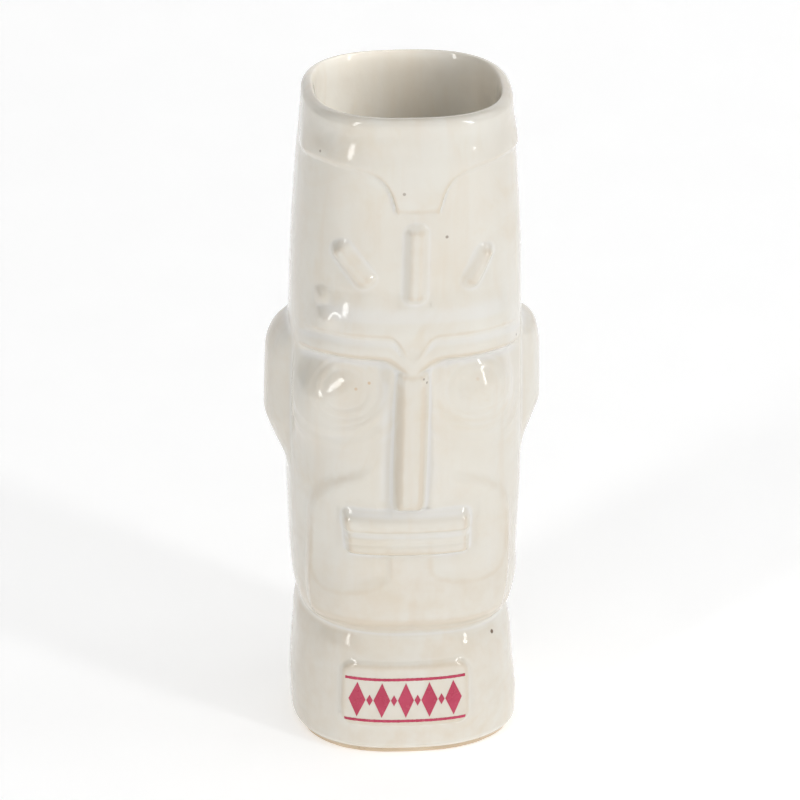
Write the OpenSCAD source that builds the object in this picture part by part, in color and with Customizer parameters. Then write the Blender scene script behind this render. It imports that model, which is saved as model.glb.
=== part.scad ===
// Tiki mug: a tall slip-cast stoneware cup, carved as a long face that stands on a plinth.
// The cup is one glazed casting. Each carved feature is a solid of its own, seated on the
// cup's skin, so that it has a name and can be changed by itself.
// Millimetres, +Z up, face towards -Y, origin at the centre of the foot's resting face.

/* [Cup] */
// Height of the rim above the table
rim_z = 191.6; // [190:0.2:200]
// Half-width of the body at its widest, level with the ears
half_w = 32.9; // [32:0.1:34]
// Depth of the body over its width, at the foot
foot_depth = 1.0; // [0.92:0.01:1.04]
// Depth of the body over its width, at the rim
rim_depth = 0.957; // [0.9:0.005:1.04]
// Squareness of the body seen from above: 2 is an ellipse, 4 is nearly a rectangle
squareness = 2.56; // [2.3:0.02:3]
// Thickness of the wall
wall = 3.6; // [3:0.1:4.6]
// Height of the floor inside the cup
floor_z = 6.5; // [6:0.5:10]
// Radius where the inside wall meets the floor
floor_round = 8; // [4:1:12]
// Colour of the glaze
glaze_colour = "#ded9cd"; // [#ded9cd:Ivory, #c9b998:Buff, #8fa58c:Celadon]

/* [Foot] */
// Height of the unglazed foot ring
foot_h = 1.6; // [1:0.1:3]
// Width of the foot ring's resting face
foot_ring_w = 4.4; // [3:0.2:8]
// Radius of the rounded edge above the foot ring
foot_round = 2.4; // [1.6:0.2:4]

/* [Ears] */
// How far an ear stands out from the side of the head
ear_out = 6.2; // [4:0.1:8]
// Height of the top of the ears
ear_top_z = 123.8; // [118:0.2:126]
// Height of the lower corner of the ears
ear_low_z = 84.8; // [78:0.2:90]
// How far the left ear's lobe runs on below its lower corner
left_droop = 6; // [1:0.2:7]
// How far the right ear's lobe runs on below its lower corner
right_droop = 1.6; // [1:0.2:7]

/* [Forehead] */
// Height of the hairline at the sides
hair_z = 178.3; // [175:0.1:181]
// Height of the lower end of the hair's middle tab
hair_tab_z = 165.8; // [164:0.1:171]
// How far the hair stands out
hair_out = 0.7; // [0.4:0.1:1.5]
// How far the forehead bars stand out
bar_out = 2.2; // [1:0.1:3]
// Width of a forehead bar
bar_w = 5.6; // [4:0.2:7]

/* [Brow and eyes] */
// Height of the lower edge of the upper brow
brow_z = 130; // [128:0.1:132]
// How far the upper brow stands out
upper_brow_out = 2.4; // [2:0.1:4]
// How far the lower brow stands out
lower_brow_out = 1.9; // [1:0.1:3]
// Height of the middle of the eyes
eye_z = 113.3; // [111:0.1:115]
// Radius of the outer ring round an eye
eye_r = 9.4; // [8:0.2:10]
// How far the eyeball stands out
eye_out = 1.5; // [0.8:0.1:2.5]

/* [Nose and mouth] */
// How far the nose stands out at its tip
nose_out = 4.2; // [3:0.1:6]
// Width of the nose where it meets the face
nose_w = 8; // [6:0.2:9]
// Half-width of the mouth
mouth_half = 15.6; // [12:0.1:16.5]
// Height of the top of the upper lip
mouth_top_z = 78.4; // [77:0.1:78.6]
// How far the lips stand out
lip_out = 3.6; // [2:0.1:5]

/* [Jaw] */
// How far the jowls stand out
jowl_out = 1.0; // [0.5:0.1:2]
// How far the chin stands out
chin_out = 2.0; // [1:0.1:3]

/* [Plinth] */
// Half-width of the raised panel on the plinth
panel_half = 17.2; // [12:0.1:18]
// Height of the bottom of the panel
panel_low_z = 9.6; // [8:0.2:11]
// Height of the top of the panel
panel_top_z = 29.2; // [27:0.2:30]
// How far the panel stands out
panel_out = 0.8; // [0.5:0.1:1.5]
// Number of tall lozenges in the printed band
lozenges = 5; // [3:2:7]
// Colour of the printed band
print_colour = "#b5304a"; // [#b5304a:Crimson, #2f3f63:Navy, #3a2a1e:Brown]

/* [Hidden] */

clay_colour = "#cdb893";
// Number of flats round the body
segments = 80;
// Distances round the body are measured on a circle of this radius
girth_r = 30;
// The side of the body: heights, and how far each lies inside the widest half-width
SIDE = [[0, 1.6], [6.8, 1.4], [10.8, 1.2], [18.8, 1.4], [26.8, 1.9], [31.8, 2.4], [35.2, 3.1],
    [36.8, 3.5], [38.2, 3.1], [40.8, 2.2], [44.8, 1.5], [50.8, 1.1], [60.8, 0.7], [76.8, 0.1],
    [92.8, 0], [110.8, 0.3], [130.8, 0.8], [146.8, 1.2], [158.8, 1.8], [170.8, 2.6], [180.8, 3.5],
    [rim_z, 4.2]];
// The face leans: its middle line lies this far round at the chin and at the hair
lean_low = [62.8, -1.2];
lean_high = [168.8, 0.8];
lip_r = wall / 2;
foot_edge_angle = 72;
foot_edge_top = foot_h + foot_round * sin(foot_edge_angle);
// Height that a relief keeps along its border, so that it never ends in a knife edge
border = 0.2;
// Narrow gap between features that lie side by side
seam = 0.1;

// ---- The body's skin ----

function half_x(z) = half_w - lookup(z, SIDE);
function depth(z) = lookup(z, [[0, foot_depth], [rim_z, rim_depth]]);

// A point of the plan outline at an angle from the front, moved out along the normal by h
function plan_point(angle, a, b, h) =
    let (s = sin(angle), c = cos(angle), n = squareness,
        k = pow(pow(abs(s), n) + pow(abs(c), n), -1 / n),
        normal = [sign(s) * pow(abs(s * k), n - 1) / a, -sign(c) * pow(abs(c * k), n - 1) / b])
    [a * s * k, -b * c * k] + h * normal / norm(normal);

// A point at height z whose section has the half-width a, moved out by h
function ring_point(angle, z, a, h = 0) = concat(plan_point(angle, a, a * depth(z), h), z);

function ring(z, a, h = 0) = [for (i = [0 : segments - 1]) ring_point(360 * i / segments, z, a, h)];

// A point of the skin: t round from the front, z up, h out
function skin(t, z, h) = ring_point(t / girth_r * 180 / PI, z, half_x(z), h);

// The same for the carved face, whose middle line leans
function mid(z) = lookup(z, [lean_low, lean_high]);
function face(t, z, h) = skin(t + mid(z), z, h);

function smooth(x) = let (c = min(1, max(0, x))) c * c * (3 - 2 * c);

// ---- Shared solids ----

// A solid between rings of equal length, with a flat cap at each end
module ring_solid(rings) {
    count = len(rings);
    side = [for (r = [0 : count - 2], i = [0 : segments - 1])
        let (j = (i + 1) % segments, a = r * segments, b = a + segments)
        each [[a + i, b + i, a + j], [a + j, b + i, b + j]]];
    first_cap = [[for (i = [0 : segments - 1]) i]];
    last_cap = [[for (i = [segments - 1 : -1 : 0]) (count - 1) * segments + i]];
    polyhedron([for (r = rings) each r], concat(side, first_cap, last_cap));
}

// A raised patch: rows of [t, z, h], running upwards, each from left to right. Its back lies
// at the height seat above the skin
module patch(rows, seat = 0) {
    m = len(rows);
    n = len(rows[0]);
    outer = [for (row = rows, p = row) face(p[0], p[1], p[2])];
    inner = [for (row = rows, p = row) face(p[0], p[1], seat)];
    back = m * n;
    quads = [for (r = [0 : m - 2], c = [0 : n - 2]) r * n + c];
    fronts = [for (q = quads) each [[q, q + n, q + 1], [q + 1, q + n, q + n + 1]]];
    backs = [for (f = fronts) [f[0] + back, f[2] + back, f[1] + back]];
    edge = concat([for (c = [0 : n - 1]) c], [for (r = [1 : m - 1]) r * n + n - 1],
        [for (c = [n - 2 : -1 : 0]) (m - 1) * n + c], [for (r = [m - 2 : -1 : 1]) r * n]);
    walls = [for (i = [0 : len(edge) - 1]) let (a = edge[i], b = edge[(i + 1) % len(edge)])
        each [[a, b, b + back], [a, b + back, a + back]]];
    polyhedron(concat(outer, inner), concat(fronts, backs, walls));
}

// Height across a relief from one border (0) to the other (1): it rises over the share edge
function crown(x, edge) = smooth(min(x, 1 - x) / edge);
function out_at(h, f) = border + (h - border) * f;

// A relief that runs round the body: stations of [t, low z, high z, out]
STEPS = [0, 0.12, 0.3, 0.5, 0.7, 0.88, 1];
module band(stations, edge = 0.3) {
    patch([for (v = STEPS) [for (s = stations)
        [s[0], s[1] + v * (s[2] - s[1]), out_at(s[3], crown(v, edge))]]]);
}

// A straight relief between two points [t, z], with the given width
module bar(low, high, w, out) {
    along = high - low;
    across = [along[1], -along[0]] / norm(along) * w / 2;
    patch([for (v = STEPS) [for (u = [-1, -0.8, -0.45, 0, 0.45, 0.8, 1])
        let (p = low + v * along + u * across)
        [p[0], p[1], out_at(out, crown(v, 0.12) * crown((u + 1) / 2, 0.3))]]]);
}

// A round relief: a square grid drawn into a disc, its height given by rings of [radius, out]
module disc(centre, r, rings) {
    grid = [-1 : 0.125 : 1];
    patch([for (v = grid) [for (u = grid)
        let (x = u * sqrt(1 - v * v / 2), y = v * sqrt(1 - u * u / 2))
        [centre[0] + r * x, centre[1] + r * y, lookup(norm([x, y]), rings)]]]);
}

// ---- Cup ----

module cup_body() {
    rim_base = rim_z - lip_r;
    edge_half = half_x(foot_edge_top);
    foot_edge = [for (a = [foot_edge_angle : -foot_edge_angle / 4 : 1])
        ring(foot_edge_top - foot_round * sin(a), edge_half - foot_round * (1 - cos(a)))];
    sides = [for (s = SIDE) if (s[0] > foot_edge_top && s[0] < rim_base - 1) ring(s[0], half_x(s[0]))];
    lip = [for (a = [0 : 22.5 : 180])
        ring(rim_base + lip_r * sin(a), half_x(rim_base), lip_r * (cos(a) - 1))];
    inner_zs = [180.8, 165.8, 146.8, 120.8, 92.8, 60.8, 44.8, 36.8, 28.8];
    inside = [for (z = inner_zs) ring(z, half_x(z), -wall)];
    floor_top = floor_z + floor_round;
    floor_edge = [for (a = [0 : 22.5 : 90])
        ring(floor_top - floor_round * sin(a), half_x(floor_top), -wall - floor_round * (1 - cos(a)))];
    color(glaze_colour)
        ring_solid(concat(foot_edge, [ring(foot_edge_top, edge_half)], sides, lip, inside, floor_edge));
}

module foot_ring() {
    half = half_x(foot_edge_top) - foot_round * (1 - cos(foot_edge_angle));
    outline = [for (i = [0 : segments - 1]) plan_point(360 * i / segments, half, half * depth(0), 0)];
    recess = [for (i = [0 : segments - 1])
        plan_point(360 * i / segments, half, half * depth(0), -foot_ring_w)];
    color(clay_colour) linear_extrude(foot_h) difference() {
        polygon(outline);
        polygon(recess);
    }
}

// ---- Ears ----

// Distances round the side, and how much of the full height the ear has there
EAR_RISE = [[-61, 0], [-58, 0.95], [-54, 1], [-49, 0.92], [-44, 0.68], [-40.5, 0.35], [-38, 0]];

// side is -1 for the left ear and 1 for the right one; droop lengthens the lower end
module ear(side, droop) {
    ts = side < 0 ? [for (e = EAR_RISE) e[0]] : [for (i = [len(EAR_RISE) - 1 : -1 : 0]) -EAR_RISE[i][0]];
    zs = [ear_low_z - droop, ear_low_z, ear_low_z + 6, ear_low_z + 20, ear_top_z - 11, ear_top_z - 5,
        ear_top_z];
    fullness = [0.05, 0.62, 1, 1, 1, 0.72, 0.05];
    color(glaze_colour) patch([for (i = [0 : len(zs) - 1]) [for (t = ts)
        [t - mid(zs[i]), zs[i], out_at(ear_out, fullness[i] * lookup(-abs(t), EAR_RISE))]]]);
}

module left_ear() ear(-1, left_droop);
module right_ear() ear(1, right_droop);

// ---- Forehead ----

hair_end = 46;
tab_half = 5.7;
// Height of the hairline at a distance t from the middle: a square tab, then an open curve
function hairline(t) = hair_z - (hair_z - hair_tab_z) * pow(tab_half / max(tab_half, abs(t)), 2.6);

module hair_band() {
    ts = [-hair_end, -38, -30, -24, -19, -15, -12, -9.5, -7.8, -6.6, -tab_half, -2.5, 0.5];
    all_ts = concat(ts, [for (i = [len(ts) - 1 : -1 : 0]) -ts[i]]);
    color(glaze_colour) band([for (t = all_ts)
        [t, hairline(t), rim_z - 3, abs(t) < hair_end ? hair_out : border]], 0.12);
}

module left_forehead_bar() color(glaze_colour) bar([-11.4, 144.4], [-20.8, 156], bar_w, bar_out);
module centre_forehead_bar() color(glaze_colour) bar([0, 139.6], [0, 162.4], bar_w, bar_out);
module right_forehead_bar() color(glaze_colour) bar([13, 143], [19.1, 154.8], bar_w, bar_out);

// ---- Brow and eyes ----

BROW_TS = [-37, -33, -29, -25, -21, -16, -11, -7, -4.6, -3.4, -2, 0];
brow_ts = concat(BROW_TS, [for (i = [len(BROW_TS) - 2 : -1 : 0]) -BROW_TS[i]]);
brow_end = 37;
lower_brow_w = 5.6;
upper_brow_w = 7.2;
brow_point = 6.6;

// The brows droop towards the ears and come to a point over the nose
function droop(t) = 3.4 * smooth((abs(t) - 22) / 14);
function point(t, reach) = reach * max(0, 1 - abs(t) / 4.6);
function fade(t) = smooth((brow_end - abs(t)) / 18);

module upper_brow() {
    color(glaze_colour) band([for (t = brow_ts)
        [t, brow_z + seam - droop(t) - point(t, brow_point), brow_z + upper_brow_w - droop(t),
            out_at(upper_brow_out, fade(t))]], 0.42);
}

module lower_brow() {
    color(glaze_colour) band([for (t = brow_ts)
        [t, brow_z - lower_brow_w - droop(t) - point(t, brow_point * 0.85),
            brow_z - droop(t) - point(t, brow_point), out_at(lower_brow_out, fade(t))]], 0.35);
}

// Share of the eye's radius, and how far the rings and the eyeball stand out there
EYE_RINGS = [[0, eye_out], [0.25, eye_out * 0.9], [0.45, eye_out * 0.45], [0.55, 0.35], [0.66, 0.75],
    [0.78, 0.3], [0.88, 0.6], [1, border]];
module eye(side) color(glaze_colour) disc([side * 17.2, eye_z - 0.6], eye_r, EYE_RINGS);
module left_eye() eye(-1);
module right_eye() eye(1);

// ---- Nose and mouth ----

module nose() {
    low = mouth_top_z + 0.5;
    top = brow_z - lower_brow_w - brow_point * 0.85 - 0.3;
    // Share of the nose's length from the tip, and share of its full height
    profile = [[0, 0.25], [0.05, 0.9], [0.15, 1], [0.5, 0.86], [0.85, 0.7], [1, 0.45]];
    sides = [[-1, 0], [-0.78, 0.75], [-0.6, 1], [0, 1.02], [0.6, 1], [0.78, 0.75], [1, 0]];
    color(glaze_colour) patch([for (p = profile) [for (s = sides)
        [s[0] * nose_w / 2 - 0.3, low + p[0] * (top - low), out_at(nose_out, p[1] * s[1])]]]);
}

// A lip between two heights, with square ends
module lip(low, high, half, out) {
    ts = [-1, -0.95, -0.85, -0.5, 0, 0.5, 0.85, 0.95, 1];
    color(glaze_colour) band([for (u = ts) [u * half, low, high, abs(u) < 1 ? out : out * 0.35]], 0.25);
}

middle_lip_top = 71.4;
middle_lip_low = 67.8;
lower_lip_low = 64;
module upper_lip() lip(middle_lip_top + seam, mouth_top_z, mouth_half, lip_out);
module middle_lip() lip(middle_lip_low, middle_lip_top, mouth_half - 0.2, lip_out * 0.84);
module lower_lip() lip(lower_lip_low, middle_lip_low - seam, mouth_half - 0.5, lip_out * 0.94);

// ---- Jaw ----

// Heights with the jowl's outer and inner border; side is -1 for the left jowl
beside_mouth = mouth_half + seam;
beside_nose = nose_w / 2 + 1;
JOWL = [[lower_lip_low, 29, beside_mouth], [68.8, 29, beside_mouth], [73.8, 28.4, beside_mouth],
    [mouth_top_z + seam, 26.6, beside_mouth], [mouth_top_z + 0.8, 26, beside_nose],
    [81.8, 23.6, beside_nose], [84.8, 19.6, beside_nose + 0.4], [87.8, 15.6, beside_nose + 1.4],
    [89.8, 12.6, beside_nose + 3]];
module jowl(side) {
    across = [0, 0.1, 0.3, 0.5, 0.75, 1];
    last = len(JOWL) - 1;
    color(glaze_colour) patch([for (i = [0 : last]) [for (u = across)
        let (v = side < 0 ? u : 1 - u, j = JOWL[i])
        [side * (j[1] + v * (j[2] - j[1])), j[0],
            out_at(jowl_out, i == last ? 0 : smooth(v / 0.25))]]]);
}
module left_jowl() jowl(-1);
module right_jowl() jowl(1);

// The chin swells in the middle, with a shallow hollow on each side of it under the mouth
function jaw_out(t, z) =
    let (swell = exp(-pow((z - 47.3) / 6, 2)) * (chin_out - jowl_out * 0.6),
        hollow = 0.6 * exp(-pow((z - 57.3) / 4, 2)) * exp(-pow((abs(t) - 12) / 6, 2)),
        underside = smooth((z - 37.8) / 5),
        side_fade = smooth((33 - abs(t)) / 8))
    out_at((jowl_out + swell - hollow) * underside, side_fade);

module jaw() {
    zs = [38.2, 40.8, 42.8, 44.8, 47.8, 50.8, 53.8, 56.8, 59.8, lower_lip_low - seam * 2];
    color(glaze_colour) patch([for (z = zs) [for (t = [-33 : 3 : 33]) [t, z, jaw_out(t, z)]]]);
}

// ---- Plinth ----

module plinth_panel() {
    ts = [-1, -0.97, -0.9, -0.7, -0.4, 0, 0.4, 0.7, 0.9, 0.97, 1];
    // The corners are rounded by drawing the ends in
    function corner(u) = 2.4 * pow(smooth((abs(u) - 0.9) / 0.1), 2);
    color(glaze_colour) band([for (u = ts) [u * panel_half, panel_low_z + corner(u),
        panel_top_z - corner(u), abs(u) < 1 ? panel_out : border]], 0.12);
}

band_low = 11.4;
band_high = 25;
band_half = 15.6;
rule_w = 0.8;
print_thickness = 0.15;

// A flat printed shape that lies on the panel: rows of [t, z]
module print_patch(rows) {
    patch([for (row = rows) [for (p = row) concat(p, panel_out + print_thickness)]], panel_out);
}

module rule(z) {
    print_patch([for (dz = [0, rule_w]) [for (t = [-band_half : band_half / 8 : band_half]) [t, z + dz]]]);
}

module lozenge(t, half_t, half_z) {
    z = (band_low + band_high) / 2;
    print_patch([for (v = [-1, 0, 1]) [for (u = [-1, 0, 1])
        [t + (u - v) / 2 * half_t, z + (u + v) / 2 * half_z]]]);
}

module printed_band() {
    pitch = 2 * band_half / lozenges;
    tall = (band_high - band_low) / 2 - rule_w * 1.8;
    color(print_colour) {
        rule(band_low);
        rule(band_high - rule_w);
        for (i = [0 : lozenges - 1]) lozenge((i + 0.5) * pitch - band_half, pitch * 0.34, tall);
        for (i = [1 : lozenges - 1]) lozenge(i * pitch - band_half, pitch * 0.13, tall * 0.32);
    }
}

cup_body();
foot_ring();
left_ear();
right_ear();
hair_band();
left_forehead_bar();
centre_forehead_bar();
right_forehead_bar();
upper_brow();
lower_brow();
left_eye();
right_eye();
nose();
left_jowl();
right_jowl();
jaw();
upper_lip();
middle_lip();
lower_lip();
plinth_panel();
printed_band();
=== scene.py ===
"""A glazed stoneware tiki mug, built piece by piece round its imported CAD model.

Lengths in the shape functions are millimetres. t is the distance round the body from the
front, measured on a circle of radius GIRTH; T is t from the face's middle line, which leans;
z is the height; h is the height above the skin, which is the body without its carving.
"""

import math

import bpy
import numpy as np
from mathutils import Matrix, Vector


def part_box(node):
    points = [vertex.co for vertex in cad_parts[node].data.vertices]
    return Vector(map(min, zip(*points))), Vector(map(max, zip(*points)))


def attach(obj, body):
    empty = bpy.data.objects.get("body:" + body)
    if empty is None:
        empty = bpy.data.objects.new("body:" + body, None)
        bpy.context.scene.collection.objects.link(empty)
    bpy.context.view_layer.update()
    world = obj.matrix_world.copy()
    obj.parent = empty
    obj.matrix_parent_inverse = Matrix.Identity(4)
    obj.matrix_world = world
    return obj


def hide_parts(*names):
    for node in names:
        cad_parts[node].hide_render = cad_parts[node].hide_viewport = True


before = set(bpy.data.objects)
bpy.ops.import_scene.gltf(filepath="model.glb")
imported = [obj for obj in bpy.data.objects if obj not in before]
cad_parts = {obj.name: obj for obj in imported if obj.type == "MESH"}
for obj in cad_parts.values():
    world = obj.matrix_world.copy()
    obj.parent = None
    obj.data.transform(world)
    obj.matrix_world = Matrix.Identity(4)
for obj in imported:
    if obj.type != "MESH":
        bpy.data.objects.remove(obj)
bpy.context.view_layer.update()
MM = 0.001
GIRTH = 30.0
HALF_TURN = math.pi * GIRTH
# The plan is a superellipse of this power; its depth over its width is 1 at the foot and
# RIM_DEPTH at the rim
SQUARENESS = 2.56
RIM_DEPTH = 0.957
WALL = 3.6
GLAZED_WALL = WALL + 0.4
FOOT_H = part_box("foot_ring")[1].z / MM
FLOOR_Z = 6.5
FLOOR_ROUND = 8.0
# How far the flat of the floor reaches, over half the width of the body
FLOOR_REACH = 0.62
# The glaze turns in under the foot over a round of this radius and angle
FOOT_ROUND = 2.4
FOOT_EDGE = math.radians(72)
EDGE_TOP = FOOT_H + FOOT_ROUND * math.sin(FOOT_EDGE)
HALF_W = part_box("cup_body")[1].x / MM
RIM_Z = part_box("cup_body")[1].z / MM
# The rim is rounded by this much outside, and over this depth inside
LIP_OUTER = 2.5
LIP_DEPTH = 7.0
RIM_BASE = RIM_Z - LIP_OUTER

# The side of the body: heights, and how far each lies inside the widest half-width
SIDE = np.array([
    [0, 1.6], [6.8, 1.4], [10.8, 1.2], [18.8, 1.4], [26.8, 1.9], [31.8, 2.4], [35.2, 3.1],
    [36.8, 3.5], [38.2, 3.1], [40.8, 2.2], [44.8, 1.5], [50.8, 1.1], [60.8, 0.7], [76.8, 0.1],
    [92.8, 0], [110.8, 0.3], [130.8, 0.8], [146.8, 1.2], [158.8, 1.8], [170.8, 2.6], [180.8, 3.5],
    [RIM_Z, 4.2]])
# Heights of the knots of the inside
INSIDE_Z = np.array([14.5, 28.8, 60.8, 92.8, 120.8, 146.8, 165.8, 180.8, RIM_Z])


# ---- Curves ----

def s3(x):
    """A smooth step: 0 below 0 and 1 above 1."""
    c = np.clip(x, 0, 1)
    return c * c * (3 - 2 * c)


def s5(x):
    """A smooth step with flatter ends than s3."""
    c = np.clip(x, 0, 1)
    return c ** 3 * (10 - 15 * c + 6 * c * c)


def bell(x):
    """1 at 0, falling away to 0 on both sides."""
    return np.exp(-np.square(x))


def smax(a, b, k):
    """The larger of two heights, with a fillet where they are closer than k."""
    m = np.clip(0.5 + 0.5 * (a - b) / k, 0, 1)
    return a * m + b * (1 - m) + k * m * (1 - m)


def curve(knots, x):
    """A smooth curve through knots [x, y] that doesn't overshoot between them."""
    knots = np.asarray(knots, float)
    kx, ky = knots[:, 0], knots[:, 1]
    dx, dy = np.diff(kx), np.diff(ky)
    slope = dy / dx
    inner = np.where(slope[:-1] * slope[1:] > 0,
                     2 * slope[:-1] * slope[1:] / np.where(slope[:-1] + slope[1:] == 0, 1,
                                                           slope[:-1] + slope[1:]), 0)
    m = np.concatenate([[slope[0]], inner, [slope[-1]]])
    x = np.clip(x, kx[0], kx[-1])
    i = np.clip(np.searchsorted(kx, x, side="right") - 1, 0, len(dx) - 1)
    u = (x - kx[i]) / dx[i]
    return ((1 + 2 * u) * (1 - u) ** 2 * ky[i] + u * (1 - u) ** 2 * dx[i] * m[i]
            + u * u * (3 - 2 * u) * ky[i + 1] + u * u * (u - 1) * dx[i] * m[i + 1])


# ---- The skin ----

def half_x(z):
    """Half the width of the body at height z."""
    return HALF_W - curve(SIDE, z)


def depth(z):
    """Depth of the plan over its width, which lessens towards the rim."""
    return 1 + (RIM_DEPTH - 1) * np.asarray(z) / RIM_Z


def mid(z):
    """The face leans: where its middle line lies at height z."""
    return np.interp(z, [62.8, 168.8], [-1.2, 0.8])


def plan(t, a, b, h):
    """x and y at t round the plan with half-widths a and b, moved out by h."""
    angle = np.asarray(t) / GIRTH
    s, c = np.sin(angle), np.cos(angle)
    n = SQUARENESS
    k = (np.abs(s) ** n + np.abs(c) ** n) ** (-1 / n)
    nx = np.sign(s) * np.abs(s * k) ** (n - 1) / a
    ny = -np.sign(c) * np.abs(c * k) ** (n - 1) / b
    size = np.hypot(nx, ny)
    return a * s * k + h * nx / size, -b * c * k + h * ny / size


def skin(t, z, h):
    """Points, in millimetres, at t round, z up and h out from the skin."""
    a = half_x(z)
    x, y = plan(t, a, a * depth(z), h)
    return np.stack([x, y, np.broadcast_to(z, np.shape(x))], -1)


# A point whose plan value is below this lies on the skin, and not on a piece's front
ON_SKIN = 1.004


def span(name):
    """Lowest and highest [T, z] of a CAD node's back, where T is measured from the face's middle."""
    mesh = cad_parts[name].data
    p = np.empty(len(mesh.vertices) * 3)
    mesh.vertices.foreach_get("co", p)
    x, y, z = p.reshape(-1, 3).T / MM
    a = HALF_W - np.interp(z, SIDE[:, 0], SIDE[:, 1])
    b = a * depth(z)
    on_skin = np.abs(x / a) ** SQUARENESS + np.abs(y / b) ** SQUARENESS < ON_SKIN
    T = np.arctan2(x / a, -y / b) * GIRTH - mid(z)
    return T[on_skin].min(), T[on_skin].max(), z.min(), z.max()


SPAN = {n: span(n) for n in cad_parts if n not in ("cup_body", "foot_ring", "printed_band")}

# ---- The carving ----

# How far each part of the carving stands out of the skin
EAR_OUT = 6.2
NOSE_OUT = 4.1
BAR_OUT = 2.0
CHIN_OUT = 1.6
PANEL_OUT = 1.1
MUZZLE_OUT = 0.9
# How far the eye sockets and the shoulder of the plinth lie in it
SOCKET_DEEP = 1.9
SHOULDER_DEEP = 0.9
# The carved arcs below the eyes: their height, and the distance from one to the next
ARC_OUT = 0.11
ARC_PITCH = 4.4
# How far each ear's lobe hangs below EAR_LOW, as in the CAD model: -1 is the viewer's left ear
EAR_DROOP = {-1: 6, 1: 1.6}
EAR_LOW, EAR_TOP = SPAN["right_ear"][2] + EAR_DROOP[1], SPAN["right_ear"][3]
# The ear across, by t, and up, by share of its height: [place, share of EAR_OUT]
EAR_ACROSS = [[37.6, 0], [40.5, 0.33], [44, 0.66], [49, 0.92], [54, 1], [57.6, 0.95], [60, 0.45],
              [61.4, 0]]
EAR_RISE = [[0, 0], [0.06, 0.12], [0.2, 0.66], [0.34, 1], [0.7, 1.0], [0.84, 0.86], [0.93, 0.42],
            [1, 0]]
# The hairline at the sides, and the low edge and half the width of its tab
HAIR_Z = 178.6
HAIR_TAB_Z = SPAN["hair_band"][2]
TAB_HALF = 5.7
HAIR_TOP = SPAN["hair_band"][3]
# Each forehead bar: the middles of its ends [T, z], and its width
BARS = {"left_forehead_bar": ((-11.6, 144.6), (-20.6, 155.8), 5.6),
        "centre_forehead_bar": ((-0.2, 139.8), (-0.2, 162.2), 5.8),
        "right_forehead_bar": ((13.2, 143.4), (18.9, 154.4), 4.8)}
# The crease between the two brow strips, and the width of the lower one
BROW_Z = 130.0
LOWER_BROW_W = 6.2
EYE_R = (SPAN["right_eye"][3] - SPAN["right_eye"][2]) / 2
EYE_Z = (SPAN["right_eye"][3] + SPAN["right_eye"][2]) / 2
EYE_T = 17.2
NOSE_LOW, NOSE_TOP = SPAN["nose"][2:]
MOUTH_TOP = SPAN["upper_lip"][3]
MOUTH_LOW = SPAN["lower_lip"][2]
MOUTH_HALF = SPAN["upper_lip"][1]
# The grooves that part the three lips
GROOVES = (71.4, 67.9)
# How far the lips' pieces run on past the mouth, below, above and beside it
MOUTH_BELOW, MOUTH_ABOVE, MOUTH_BESIDE = 2.4, 1.8, 3
PANEL = SPAN["plinth_panel"]
CHIN_LOW = SPAN["jaw"][2]
# The border of the muzzle, from the nose down each side to the chin: [distance from the middle, z]
MUZZLE = {1: [[0, 95], [5, 94.4], [9, 92.4], [12.6, 90.3], [18.7, 87.5], [22.4, 85.2], [25.8, 82],
              [28.6, 77.8], [30.2, 72], [31.2, 65.3], [31.8, 56], [31.4, 49], [30.4, 43], [29, 36],
              [0, 34]],
          -1: [[0, 95], [5, 94.4], [9, 92.8], [14.2, 90.2], [19.5, 87.4], [22, 85.6], [24.6, 83],
               [27.2, 79], [28.4, 74], [28.6, 68], [28.9, 61.3], [29.6, 52], [29.2, 46], [28.6, 40],
               [28, 36], [0, 34]]}
# The hollows beside and under the mouth, inside the ridge round the muzzle
POCKETS = {1: [[4.6, 90], [4.6, 70], [4.8, 61.5], [6, 57.4], [9.2, 55.2], [15.3, 54.0], [21.7, 54.1],
               [25.6, 56.2], [27.2, 60.5], [27.6, 67], [26.4, 75], [22, 81.5], [14, 87], [8, 90]],
           -1: [[4.0, 90], [4.1, 70], [4.4, 61.5], [5.0, 55.8], [8.4, 52.8], [13, 51.4], [18.6, 50.6],
                [22.9, 52], [25.4, 55.2], [26.2, 60.3], [25.8, 67], [24.6, 75], [20.6, 81.5],
                [13, 87], [8, 90]]}


def hairline(T):
    """A square tab in the middle, then an open curve to each side."""
    aT = np.sqrt(T * T + 1.2)
    tab = (HAIR_Z - HAIR_TAB_Z) * (TAB_HALF / np.maximum(TAB_HALF, aT)) ** 2.3
    return HAIR_Z - tab - 1.2 * s3((aT - 26) / 12)


def droop(T):
    """How far the brow drops towards its ends."""
    return 2.6 * s3((np.abs(T) - 20) / 15)


def point(T, reach, half):
    """The brow's point over the nose: a V with its tip and its shoulders rounded."""
    x = (1 - np.sqrt((T + 0.35) ** 2 + 0.7) / half) / 0.13
    return reach * 0.13 * np.logaddexp(0, x)


def line_one(T):
    """The crease between the two brow strips."""
    return BROW_Z - droop(T) - point(T, 7.4, 4.9)


def line_two(T):
    """The lower edge of the lower brow strip."""
    return BROW_Z - LOWER_BROW_W - droop(T) * 0.8 - point(T, 5.9, 5.5)


def box_distance(p, q, half_p, half_q, r):
    """Signed distance to a rectangle with rounded corners, below 0 inside."""
    dp, dq = np.abs(p) - half_p + r, np.abs(q) - half_q + r
    outside = np.hypot(np.maximum(dp, 0), np.maximum(dq, 0))
    return outside + np.minimum(np.maximum(dp, dq), 0) - r


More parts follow.
